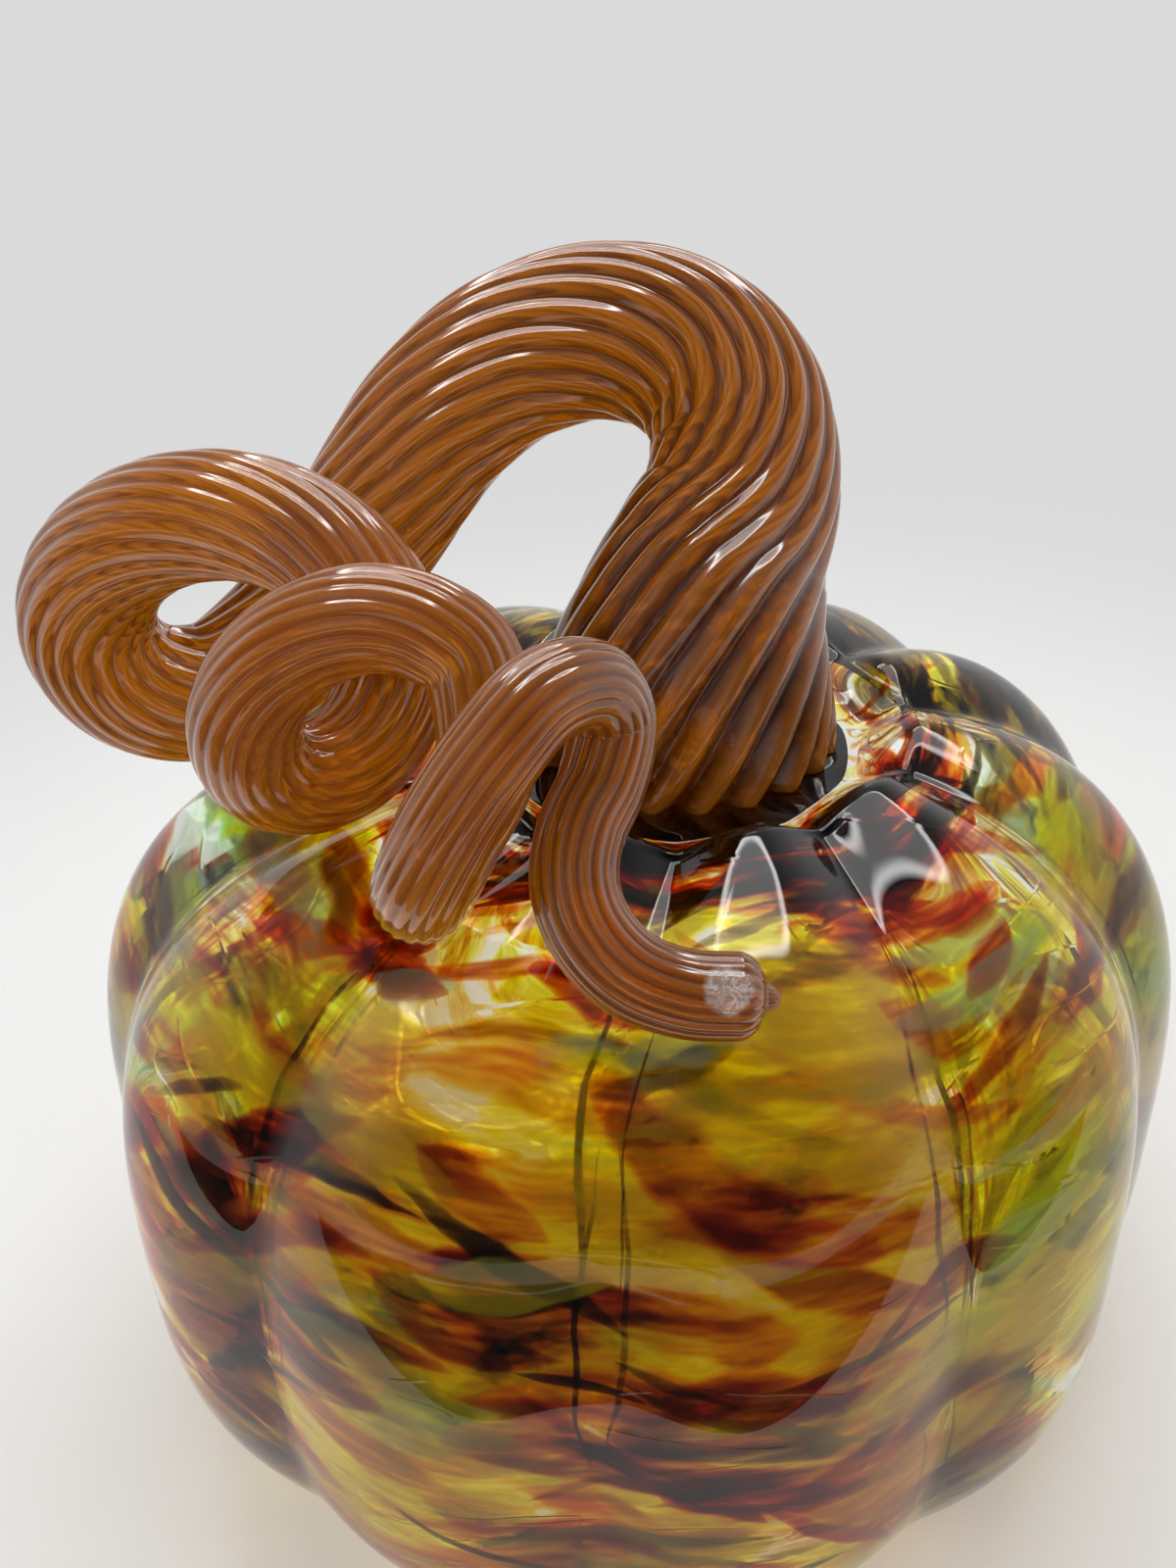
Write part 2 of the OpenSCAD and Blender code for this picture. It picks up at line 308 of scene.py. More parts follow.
def lobed_place(tree, given, on_line, turn, sink):
    """A place in the wall at a turn round the body, drawn in along the valleys and sunk below."""
    line_r, _, line_z = split(tree, on_line("position"))
    push_r, _, push_z = split(tree, on_line("push"))
    out_r, _, out_z = split(tree, on_line("out"))
    middle_x, middle_y, _ = split(tree, on_line("middle"))
    wave = (turn * Field(tree, given["Lobes"]) * 0.5).math("SINE")
    round_off = Field(tree, given["Valley round"])
    crease = 1.0 - (wave * wave + round_off * round_off).math("SQRT")
    radius = line_r + push_r * crease - out_r * sink
    aim = turn + Field(tree, given["Lobe turn"])
    return put(tree, "ShaderNodeCombineXYZ", {
        0: middle_x + radius * aim.math("SINE"),
        1: middle_y - radius * aim.math("COSINE"),
        2: line_z + push_z * crease - out_z * sink}).outputs[0]


def lobed_wall_tree():
    """Turns a wall's line round the body, drawing it in along the valleys."""
    tree, given = new_tree("Lobed wall", {
        "Line": "Geometry", "Columns": "Int", "Lobes": "Float", "Lobe turn": "Float",
        "Valley round": "Float", "Open face": "Material", "Fused face": "Material"})
    rows = put(tree, "GeometryNodeAttributeDomainSize", {0: given["Line"]}, component="MESH").outputs[0]
    columns = Field(tree, given["Columns"])
    sheet, column, row = grid_of(tree, columns + 1.0, Field(tree, rows))
    on_line = line_reader(tree, given["Line"], row)
    place = lobed_place(tree, given, on_line, column / columns * (2 * pi), 0.0)
    last = put(tree, "GeometryNodeSetPosition", {"Geometry": sheet, "Position": place}).outputs[0]
    last = mark(tree, last, "fused", on_line("fused", "FLOAT"))
    last = put(tree, "GeometryNodeMergeByDistance", {"Geometry": last, "Distance": merge_gap}).outputs[0]
    last = put(tree, "GeometryNodeSetShadeSmooth", {"Geometry": last}).outputs[0]
    is_fused = Field(tree, marked(tree, "fused")).math("GREATER_THAN", 0.5)
    finish_tree(tree, last, [(given["Open face"], None), (given["Fused face"], is_fused)])
    return tree


def wall_piece(name, outer, inner, fused_outside, open_face, fused_face):
    """A closed shell of the body between two lines of the wall, with a hole at the neck."""
    count = len(outer["radius"]), len(inner["radius"])
    back = {key: value[::-1] for key, value in inner.items()}
    loop = {}
    for key in outer:
        lip = outer[key][-1:], back[key][:1]
        loop[key] = np.concatenate([outer[key][:1], outer[key], *lip, back[key], back[key][-1:]])
    ends = [0, -1]
    lips = [count[0] + 1, count[0] + 2]
    loop["radius"][ends] = 0
    loop["radius"][lips] = neck_r
    for key in ("push_r", "push_z"):
        loop[key][ends + lips] = 0
    marks = np.concatenate([np.full(count[0] + 1, float(fused_outside)), [0.0, 0.0],
                            np.full(count[1] + 1, float(not fused_outside))])
    return grown(name, body_line(name + "_line", loop, fused=marks), wall_tree, {
        "Columns": wall_columns, "Lobes": float(lobes), "Lobe turn": lobe_turn,
        "Valley round": valley_round, "Open face": open_face, "Fused face": fused_face})


def new_material(name):
    """An empty node material, its tree and its output node."""
    material = bpy.data.materials.new(name)
    material.use_nodes = True
    material.node_tree.nodes.clear()
    return material, material.node_tree, put(material.node_tree, "ShaderNodeOutputMaterial")


def noise(tree, place, scale, detail=2.0, rough=0.5, twist=0.0):
    """A noise pattern at a place, as a field."""
    node = put(tree, "ShaderNodeTexNoise", {
        "Vector": place, "Scale": scale, "Detail": detail, "Roughness": rough, "Distortion": twist})
    return Field(tree, node.outputs[0])


def stretched(tree, place, scale):
    """A place drawn out or pressed together along its axes."""
    return put(tree, "ShaderNodeMapping", {"Vector": place, "Scale": scale}).outputs[0]


def ranged(tree, value, low, high, start=0.0, end=1.0):
    """A number that goes from start to end while a value goes from low to high."""
    node = put(tree, "ShaderNodeMapRange", {0: value, 1: low, 2: high, 3: start, 4: end})
    return Field(tree, node.outputs[0])


def mixed(tree, share, first, second):
    """A colour between two others, by a share."""
    first, second = [(*c, 1.0) if isinstance(c, tuple) else c for c in (first, second)]
    return put(tree, "ShaderNodeMix", {0: share, 6: first, 7: second}, data_type="RGBA").outputs[2]


def clear_glass(name, tint, tint_below):
    """Fire-polished clear glass: slow waves, fine cords in the melt, and shadows that let light by."""
    material, tree, output = new_material(name)
    place = put(tree, "ShaderNodeTexCoord").outputs["Object"]
    slow = noise(tree, place, wave_scale, 1.0)
    lines = noise(tree, stretched(tree, place, melt_squeeze), melt_scale, 1.0)
    cords = 1.0 - ((lines - 0.5).math("ABSOLUTE") * melt_sharpness).math("MINIMUM", 1.0)
    bump = put(tree, "ShaderNodeBump", {
        "Strength": 1.0, "Distance": wave_height, "Height": slow + cords * melt_height})
    colour = mixed(tree, ranged(tree, split(tree, place)[2], *low_colour, 1.0, 0.0), tint, tint_below)
    glass = put(tree, "ShaderNodeBsdfPrincipled", {
        "Base Color": colour, "Roughness": 0.0, "IOR": glass_bend, "Transmission Weight": 1.0,
        "Normal": bump.outputs[0]})
    let_by = put(tree, "ShaderNodeBsdfTransparent", {"Color": colour})
    shadow = put(tree, "ShaderNodeLightPath").outputs["Is Shadow Ray"]
    mix = put(tree, "ShaderNodeMixShader", {0: shadow, 1: glass.outputs[0], 2: let_by.outputs[0]})
    join(tree, mix.outputs[0], output.inputs[0])
    return material


def fused_glass():
    """The face where two gathers have melted together: nothing is left to see of it."""
    material, tree, output = new_material("fused_face")
    place = put(tree, "ShaderNodeTexCoord").outputs["Object"]
    haze = ranged(tree, noise(tree, place, haze_scale, 0.0), *haze_range, haze_least, 1.0)
    let_by = put(tree, "ShaderNodeBsdfTransparent", {"Color": haze})
    join(tree, let_by.outputs[0], output.inputs[0])
    return material


def room_start(run):
    """Depth at which the bubble starts. It meets the casing at base and seat, and leaves room between."""
    edge = np.minimum(run, crest_length - run)
    return casing_wall + colour_room * np.clip(edge / edge_run, 0, 1)


wall_tree = lobed_wall_tree()
fused_face = fused_glass()
outer_run = np.linspace(0, crest_length, outer_steps)
inner_run = np.linspace(0, crest_length, inner_steps)
bubble = wall_piece("bubble", wall_line(outer_run, room_start(outer_run)),
                    wall_line(inner_run, room_start(inner_run) + bubble_wall), True,
                    clear_glass("bubble_glass", bubble_tint, low_tint), fused_face)
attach(bubble, "root")
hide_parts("bubble")


# Coloured chips: crushed glass in five colours, picked up on the hot bubble and blown out with it, so
# that each chip is drawn out round the body into thin leaves that taper at both ends and overlap.
# The leaves lie in the room between bubble and casing, and deepen in colour from their edges inwards.
chip_bands = 8
chips_per_band = 13
chip_columns = 4 * lobes
first_chip_row = 2
rows_per_band = 2
band_turn = 3
chip_stray = 0.6
scatter = 8
scatter_steps = (127.1, 311.7, 74.7)
scatter_stretch = 437.58
colour_offset = 40
stem_bands = 2
stem_red_share = 0.4
# Places with more colour, as rows from base to seat and turns from the front
collar_rows = (15.0, 19.6)
collar_turns = (-0.5, 1.2)
smoke_rows = (10.0, 16.5)
smoke_turns = (1.6, 4.4)
front_rows = (2.0, 9.0)
front_turns = (-0.8, 0.55)
middle_rows = (8.0, 13.5)
limb_rows = (2.0, 14.0)
brow_rows = (11.5, 16.0)
brow_turns = (-1.3, 1.4)
right_turns = (0.55, 1.7)
left_turns = (-1.8, -0.9)
all_round = (0.0, 2 * pi)
fine_width = 0.55
plain_width = 1.0
smoke_width = 1.1
broad_width = 1.2
# Dark cords beside the valleys: painted shade along the creases
valley_shade_rows = (6.0, 9.0, 12.0)
valley_shade_half_length = (0.014, 0.026)
valley_shade_half_width = (0.0002, 0.0006)
valley_shade_apart = 0.0025
valley_shade_beside = (0.6, 1.2)
valley_shade_stray = 1.0
valley_shade_slant = 0.04
# A leaf's shape
leaf_seed = 60
leaf_thickness = 0.00006
leaf_slant = 0.32
leaf_bend = 2.5
leaf_fill = 0.8
leaf_taper = (0.0, 0.6)
leaf_level = 0.4
longest_share = 0.55
ragged_scale = 130.0
ragged_width = (0.3, 1.4)
sway_scale = 40.0
sway_turn = 0.12
drift_scale = 20.0
drift_run = 0.016
ripple_scale = 90.0
ripple_run = 0.002
leaf_rings = 26
leaf_sides = 8
line_steps = 4001
# A leaf's colour
edge_tone = 0.1
edge_rise = 1.15
streak_squeeze = (1.0, 1.0, 7.0)
streak_scale = 55.0
streak_share = 1.5
hair_squeeze = (1.0, 1.0, 9.0)
hair_scale = 170.0
hair_share = 0.3
tone_share = 0.95
tone_drop = 0.85
thin_at = 0.22
full_at = 0.55
milk_start = 0.3
milk_rise = 2.0
milk_shade = 0.75
milk_back = 0.15
chip_names = ["amber", "red", "yellow", "green", "dark"]
# How far each colour covers its chips, its strays for each leaf and their rows, a leaf's half length and
# half width, and the places with more of the colour, as rows, turns, count and width.
chip_habits = {
    "amber": {
        "cover": 0.8, "stray": 0.2, "rows": (5.0, 11.0),
        "length": (0.006, 0.020), "width": (0.0015, 0.0042),
        "more": [
            (front_rows, front_turns, 52, broad_width), (middle_rows, front_turns, 66, broad_width),
            (brow_rows, brow_turns, 26, plain_width)]},
    "red": {
        "cover": 0.45, "stray": 0.1, "rows": (5.0, 14.0),
        "length": (0.005, 0.015), "width": (0.0014, 0.0038),
        "more": [
            (collar_rows, collar_turns, 110, fine_width), (collar_rows, all_round, 30, fine_width),
            (limb_rows, left_turns, 32, broad_width), (limb_rows, right_turns, 12, broad_width),
            (brow_rows, brow_turns, 12, plain_width)]},
    "yellow": {
        "cover": 2.0, "stray": 2.2, "rows": (4.0, 15.5),
        "length": (0.007, 0.020), "width": (0.0030, 0.0076),
        "more": [
            (limb_rows, right_turns, 24, plain_width), (limb_rows, left_turns, 16, plain_width),
            (front_rows, front_turns, 54, plain_width), (middle_rows, front_turns, 54, plain_width)]},
    "green": {
        "cover": 0.7, "stray": 0.3, "rows": (3.0, 15.0),
        "length": (0.005, 0.013), "width": (0.0024, 0.0060),
        "more": [
            (limb_rows, right_turns, 80, plain_width), (limb_rows, left_turns, 42, plain_width)]},
    "dark": {
        "cover": 0.15, "stray": 0.0, "rows": (0.3, 7.0),
        "length": (0.006, 0.018), "width": (0.0014, 0.0034),
        "more": [
            (collar_rows, collar_turns, 36, fine_width), (smoke_rows, smoke_turns, 150, smoke_width),
            (front_rows, front_turns, 20, fine_width), (middle_rows, front_turns, 18, fine_width)]},
}


def scatter_at(i, j):
    """A number from 0 to 1 for a chip, which looks random and is the same each time."""
    angle = i * scatter_steps[0] + j * scatter_steps[1] + scatter * scatter_steps[2]
    value = sin(radians(angle)) * scatter_stretch
    return value - np.floor(value)


def chip_colour(band, j):
    """The colour of one chip: any of the five, but red or dark round the stem."""
    value = scatter_at(band + colour_offset, j)
    if band < chip_bands - stem_bands:
        return chip_names[int(value * len(chip_names))]
    return "red" if value < stem_red_share else "dark"


def chip_start(band, j):
    """Turn at which a chip starts."""
    stray = chip_stray * (scatter_at(band, j % chips_per_band) - 0.5)
    return ((j + stray) / chips_per_band + band_turn * band / chip_columns) * 2 * pi


def chip_leaves(name, habit, rng):
    """Turn, run, half length, half width and aim of each leaf of one colour: over its own chips, as
    strays, where there is more of it and, for the dark colour, as cords on both sides of each valley,
    which paint shade along the creases."""
    leaves = []

    def lay(turns, runs, finer=1.0):
        run = rng.uniform(*runs)
        longest = longest_share * np.interp(run, fine_even, even_r)
        leaves.append((rng.uniform(*turns), run, min(rng.uniform(*habit["length"]), longest),
                       finer * rng.uniform(*habit["width"]), rng.normal(0, leaf_slant)))

    leaf_area = leaf_fill * pi * np.mean(habit["length"]) * np.mean(habit["width"])
    for band in range(chip_bands):
        rows = [first_chip_row + rows_per_band * (band + k) for k in (0, 1)]
        runs = np.interp(rows, fine_rows, fine_run)
        radius = np.interp(np.mean(runs), fine_even, even_r)
        for j in range(chips_per_band):
            if chip_colour(band, j) == name:
                turns = chip_start(band, j), chip_start(band, j + 1)
                share = habit["cover"] * (turns[1] - turns[0]) * radius * (runs[1] - runs[0]) / leaf_area
                for _ in range(int(share + rng.uniform())):
                    lay(turns, runs)
    for _ in range(int(habit["stray"] * len(leaves))):
        lay(all_round, np.interp(habit["rows"], fine_rows, fine_run))
    for rows, turns, count, finer in habit["more"]:
        for _ in range(count):
            lay(turns, np.interp(rows, fine_rows, fine_run), finer)
    # Dark cords on both sides of each valley: painted shade along the creases.
    if name == "dark":
        for valley, side, row in itertools.product(range(lobes), (-1, 1), valley_shade_rows):
            run = np.interp(row + rng.uniform(-valley_shade_stray, valley_shade_stray), fine_rows, fine_run)
            beside = side * valley_shade_apart * rng.uniform(*valley_shade_beside) / np.interp(run, fine_even, even_r)
            leaves.append((valley * 2 * pi / lobes + beside, run, rng.uniform(*valley_shade_half_length),
                           rng.uniform(*valley_shade_half_width), pi / 2 + rng.normal(0, valley_shade_slant)))
    return np.array(leaves).T


def leaf_marks(name, habit, rng):
    """A mark for each leaf of one colour, which carries its place, size, lie and tone."""
    turn, run, half_length, half_width, aim = chip_leaves(name, habit, rng)
    count = len(turn)
    return point_line("chips_" + name + "_marks", np.zeros((count, 3)), {
        "turn": turn, "run": run, "radius": np.interp(run, fine_even, even_r), "half_length": half_length,
        "half_width": half_width, "aim": aim, "bend": rng.normal(0, leaf_bend, count),
        "taper": rng.uniform(*leaf_taper, count),
        "depth": rng.uniform(-leaf_level, leaf_level, count) * colour_room,
        "tone": rng.uniform(0, 1, count)}, joined=False)


def drawn_leaf_tree():
    """Lays a thin closed leaf at each mark and draws it out along the wall between bubble and casing."""
    tree, given = new_tree("Drawn leaves", {
        "Line": "Geometry", "Marks": "Object", "Rings": "Int", "Sides": "Int", "Thickness": "Float",
        "Steps": "Float", "Length": "Float", "Lobes": "Float", "Lobe turn": "Float",
        "Valley round": "Float", "Glass": "Material"})
    marks = put(tree, "GeometryNodeObjectInfo", {"Object": given["Marks"]}).outputs["Geometry"]
    ball = put(tree, "GeometryNodeMeshUVSphere", {"Segments": given["Sides"], "Rings": given["Rings"]})
    spot = put(tree, "GeometryNodeInputPosition").outputs[0]
    blade = mark(tree, ball.outputs[0], "blade", spot, "FLOAT_VECTOR")
    laid = put(tree, "GeometryNodeInstanceOnPoints", {"Points": marks, "Instance": blade}).outputs[0]
    laid = put(tree, "GeometryNodeRealizeInstances", {0: laid}).outputs[0]

    def own(label):
        return Field(tree, marked(tree, label))

    def stray(place, scale, detail):
        return noise(tree, place, scale, detail) - 0.5

    across, over, along = split(tree, marked(tree, "blade", "FLOAT_VECTOR"))
    away = along * own("half_length")
    aim = own("aim")
    narrow = (1.0 - along * along).math("MAXIMUM", 0.0).math("POWER", own("taper"))

    def flow_at(beside):
        turn = own("turn") + (away * aim.math("COSINE") - beside * aim.math("SINE")) / own("radius")
        level = own("run") + away * aim.math("SINE") + beside * aim.math("COSINE")
        round_x = turn.math("COSINE") * body_half_w
        round_y = turn.math("SINE") * body_half_w
        return turn, level, put(tree, "ShaderNodeCombineXYZ", {0: round_x, 1: round_y, 2: level}).outputs[0]

    unevenness = noise(tree, flow_at(across * own("half_width"))[2], ragged_scale, 2.0)
    ragged = unevenness * ragged_width[1] + ragged_width[0]
    turn, level, flow = flow_at(across * narrow * ragged * own("half_width") + away * away * own("bend"))
    turn = turn + stray(flow, sway_scale, 2.0) * sway_turn
    level = level + stray(flow, drift_scale, 1.0) * drift_run + stray(flow, ripple_scale, 1.0) * ripple_run
    steps = Field(tree, given["Steps"]) - 1.0
    row = (level / Field(tree, given["Length"]) * steps + 0.5).math("MAXIMUM", 0.0).math("MINIMUM", steps)
    sink = own("depth") - over * Field(tree, given["Thickness"])
    place = lobed_place(tree, given, line_reader(tree, given["Line"], row), turn, sink)
    last = put(tree, "GeometryNodeSetPosition", {"Geometry": laid, "Position": place}).outputs[0]
    last = mark(tree, last, "flow", flow, "FLOAT_VECTOR")
    last = mark(tree, last, "thick", over.math("ABSOLUTE"))
    last = put(tree, "GeometryNodeSetShadeSmooth", {"Geometry": last}).outputs[0]
    finish_tree(tree, last, [(given["Glass"], None)])
    return tree


def on_surface(tree, label):
    """A number that the surface carries under a name, for a material."""
    return Field(tree, put(tree, "ShaderNodeAttribute", attribute_name=label).outputs["Fac"])


def ramp_of(tree, amount, stops):
    """A run of colours along a number, from pairs of place and colour."""
    ramp = put(tree, "ShaderNodeValToRGB", {0: amount})
    elements = ramp.color_ramp.elements
    for element, (at, colour) in ((elements[0], stops[0]), (elements[1], stops[-1])):
        element.position = at
        element.color = (*colour, 1.0)
    for at, colour in stops[1:-1]:
        elements.new(at).color = (*colour, 1.0)
    return ramp


def chip_glass(name, thin, full, deep, milk=0.0, body=None):
    """A coloured leaf: thin, full and deep colour in streaks along the flow. Milky glass scatters light.
    Light goes in and out through two faces, so each face has the square root of the colour."""
    material, tree, output = new_material(name)
    flow = put(tree, "ShaderNodeAttribute", attribute_name="flow").outputs["Vector"]
    thick = on_surface(tree, "thick")
    own_tone = on_surface(tree, "tone")
    streaks = noise(tree, stretched(tree, flow, streak_squeeze), streak_scale, 2.0, 0.6)
    hairs = noise(tree, stretched(tree, flow, hair_squeeze), hair_scale, 0.0)
    rise = (thick * edge_rise + edge_tone).math("MINIMUM", 1.0)
    amount = rise * (own_tone * tone_share + streaks * streak_share + hairs * hair_share - tone_drop)
    places = ((0.0, (1.0, 1.0, 1.0)), (thin_at, thin), (full_at, full), (1.0, deep))
    ramp = ramp_of(tree, amount, [(at, [c ** 0.5 for c in colour]) for at, colour in places])
    face = put(tree, "ShaderNodeBsdfTransparent", {"Color": ramp.outputs[0]})
    if milk:
        tone = mixed(tree, streaks, body, tuple(c * milk_shade for c in body))
        through = put(tree, "ShaderNodeBsdfTranslucent", {"Color": tone})
        back = put(tree, "ShaderNodeBsdfDiffuse", {"Color": tone})
        cloud = put(tree, "ShaderNodeMixShader", {0: milk_back, 1: through.outputs[0], 2: back.outputs[0]})
        share = ((amount - milk_start) * (milk_rise * milk)).math("MAXIMUM", 0.0).math("MINIMUM", milk)
        face = put(tree, "ShaderNodeMixShader", {0: share, 1: face.outputs[0], 2: cloud.outputs[0]})
    join(tree, face.outputs[0], output.inputs[0])
    return material


chip_glasses = {
    "amber": chip_glass("amber_glass", (0.98, 0.80, 0.24), (0.86, 0.44, 0.05), (0.44, 0.15, 0.02)),
    "red": chip_glass("red_glass", (0.94, 0.52, 0.22), (0.70, 0.16, 0.04), (0.30, 0.03, 0.012)),
    "yellow": chip_glass("yellow_glass", (1.0, 0.98, 0.36), (0.99, 0.93, 0.07), (0.95, 0.82, 0.03),
                         0.28, (0.95, 0.85, 0.04)),
    "green": chip_glass("green_glass", (0.97, 1.0, 0.95), (0.86, 0.97, 0.82), (0.70, 0.85, 0.60),
                        0.22, (0.80, 0.95, 0.72)),
    "dark": chip_glass("dark_glass", (0.74, 0.62, 0.36), (0.34, 0.26, 0.12), (0.06, 0.05, 0.03)),
}
colour_run = np.linspace(0, crest_length, line_steps)
colour_line = wall_line(colour_run, np.full(line_steps, casing_wall + colour_room / 2))
colour_mesh = body_line("colour_line", colour_line)
leaf_tree = drawn_leaf_tree()
for order, chip_name in enumerate(chip_names):
    leaf_rng = np.random.default_rng(leaf_seed + order)
    marks = bpy.data.objects.new("chips_marks", leaf_marks(chip_name, chip_habits[chip_name], leaf_rng))
    bpy.context.scene.collection.objects.link(marks)
    chips = grown("chips_" + chip_name, colour_mesh.copy(), leaf_tree, {
        "Marks": marks, "Rings": leaf_rings, "Sides": leaf_sides, "Thickness": leaf_thickness,
        "Steps": float(line_steps), "Length": crest_length, "Lobes": float(lobes), "Lobe turn": lobe_turn,
        "Valley round": valley_round, "Glass": chip_glasses[chip_name]})
    bpy.data.objects.remove(marks)
    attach(chips, "root")
    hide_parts("chips_" + chip_name)


# Casing: the last gather of clear glass, over the colour, blown into a ribbed mould that gives the lobes.
# Its outside is fire-polished and bends the colour below it; its inside has melted into the colour.
outside_steps = 190
inside_steps = 60
casing_tint = (0.985, 0.99, 0.975)
outside_run = np.linspace(0, crest_length, outside_steps)
inside_run = np.linspace(0, crest_length, inside_steps)
casing = wall_piece("casing", wall_line(outside_run, np.zeros(outside_steps)),
                    wall_line(inside_run, np.full(inside_steps, casing_wall)), False,
                    clear_glass("casing_glass", casing_tint, casing_tint), fused_face)
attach(casing, "root")
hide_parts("casing")


# Stem: a gather of brown glass, ribbed in a mould, set hot on the hollow, then pulled, twisted and
# curled over two loops down to its nipple. The foot spreads over the seat in rounded toes.
stem_foot_w = 0.042
stem_w = 0.0285
tip_w = 0.0086
foot_length = 0.023
stem_taper = 1.7
stem_ribs = 20
groove_depth = 0.0013
rib_turns = 1.7
twist_gather = 1.5
# How finely the stem is drawn, and its ribs, toes and tip
stem_rings = 460
tip_rings = 24
points_per_rib = 9
route_steps = 16
rib_round = 0.06
rib_sways = ((2.0, 30.0, 0.3), (5.0, -45.0, 0.2))
toe_depth = 0.8
toe_reach = 4.0
tip_groove = 0.45
dome_share = 0.7
nipple_share = 0.45
# The scar, and the brown glass with its painted groove shade, crest sheen and loop light
scar_middle = (0.0095, -0.0637, 0.1125)
scar_r = 0.0026
scar_edge = 0.75
scar_ragged = 0.0016
scar_white = (0.97, 0.97, 1.0)
crack_scale = 1100.0
crack_sharpness = 9.0
thick_length = 0.15
# Loops two and three are paler: painted light for the top light they catch.
loop_light_run = (0.16, 0.22, 0.31, 0.36)
loop_light_fall = 1.6
loop_light_tone = 0.14
cloud_scale = 70.0
cloud_tone = 0.2
grain_scale = 420.0
grain_tone = 0.06
# Rib tone: grooves darker and crests paler, partly the glass's own tone, partly painted groove shade and
# crest sheen.
rib_shade_and_sheen = 0.5
thick_rib_shade_and_sheen = 0.4
thick_shade = 0.45
frost_share = (0.3, 0.6)
frost_rise = 0.6
skin_wave = 0.0002
skin_wave_share = 0.5
# Browns from groove to crest; the darkest and palest of them carry painted shade and painted sheen.
stem_browns = ((0.05, (0.10, 0.020, 0.0005)), (0.5, (0.48, 0.135, 0.002)), (0.95, (0.72, 0.25, 0.008)))
# The route from the foot over the arch, the two loops and the tail, in millimetres from the seat
millimetre = 0.001
first_curl = np.array([-51.5, -17.5, 27.5])
second_curl = np.array([-32.5, -40, 26.5])
first_curl_size = np.array([14.5, 12.5])
second_curl_size = np.array([8.5, 10.0])
curl_degrees = range(60, 626, 30)
curl_tilt = 3.6
curl_yaw = np.array([-1.0, 4.0])
arch_route = [
    (1, 2, 0), (1.1, 2.2, 4), (1.6, 3, 8), (2.6, 4.6, 12), (4.2, 7, 16.5), (6.6, 10.6, 22),
    (10.3, 16, 30.5), (9.5, 21.5, 40), (2.5, 24.5, 47), (-8.5, 23, 50), (-20.5, 18, 48), (-30, 11.5, 42),
    (-37, 5.5, 34), (-44, 1, 25.5), (-51.5, -3, 18.3), (-59.5, -6.5, 14.2), (-67.5, -8.8, 15.8)]
tail_route = [
    (-22, -42, 22), (-25.5, -46, 16), (-28, -52.5, 14), (-27.5, -58.5, 18.5), (-24, -59, 26),
    (-20, -56.5, 31.3), (-15.5, -52, 34.6), (-10.8, -47.6, 33.6), (-8.8, -46.2, 28.6), (-10, -49.5, 23.8),
    (-12.3, -54, 20.8), (-13, -58, 17.5), (-11.5, -61, 14), (-8, -63.5, 11), (-3, -64.5, 9.2),
    (2, -64.5, 8.6), (6.2, -64.6, 8.2)]


def curl_point(degrees):
    """A point on the two loops, which shrink and swing forward from the first to the second."""
    turn = radians(degrees)
    share = degrees / 360 - 0.5
    centre = first_curl + (second_curl - first_curl) * share
    width, height = first_curl_size + (second_curl_size - first_curl_size) * share
    yaw = curl_yaw[0] + (curl_yaw[1] - curl_yaw[0]) * share
    return centre + (-width * sin(turn), -curl_tilt * cos(turn) - yaw * sin(turn), -height * cos(turn))


def vector(tree, operation, *terms, **named):
    """The vector that a node makes of others."""
    inputs = {**dict(enumerate(terms)), **named}
    return put(tree, "ShaderNodeVectorMath", inputs, operation=operation).outputs[0]


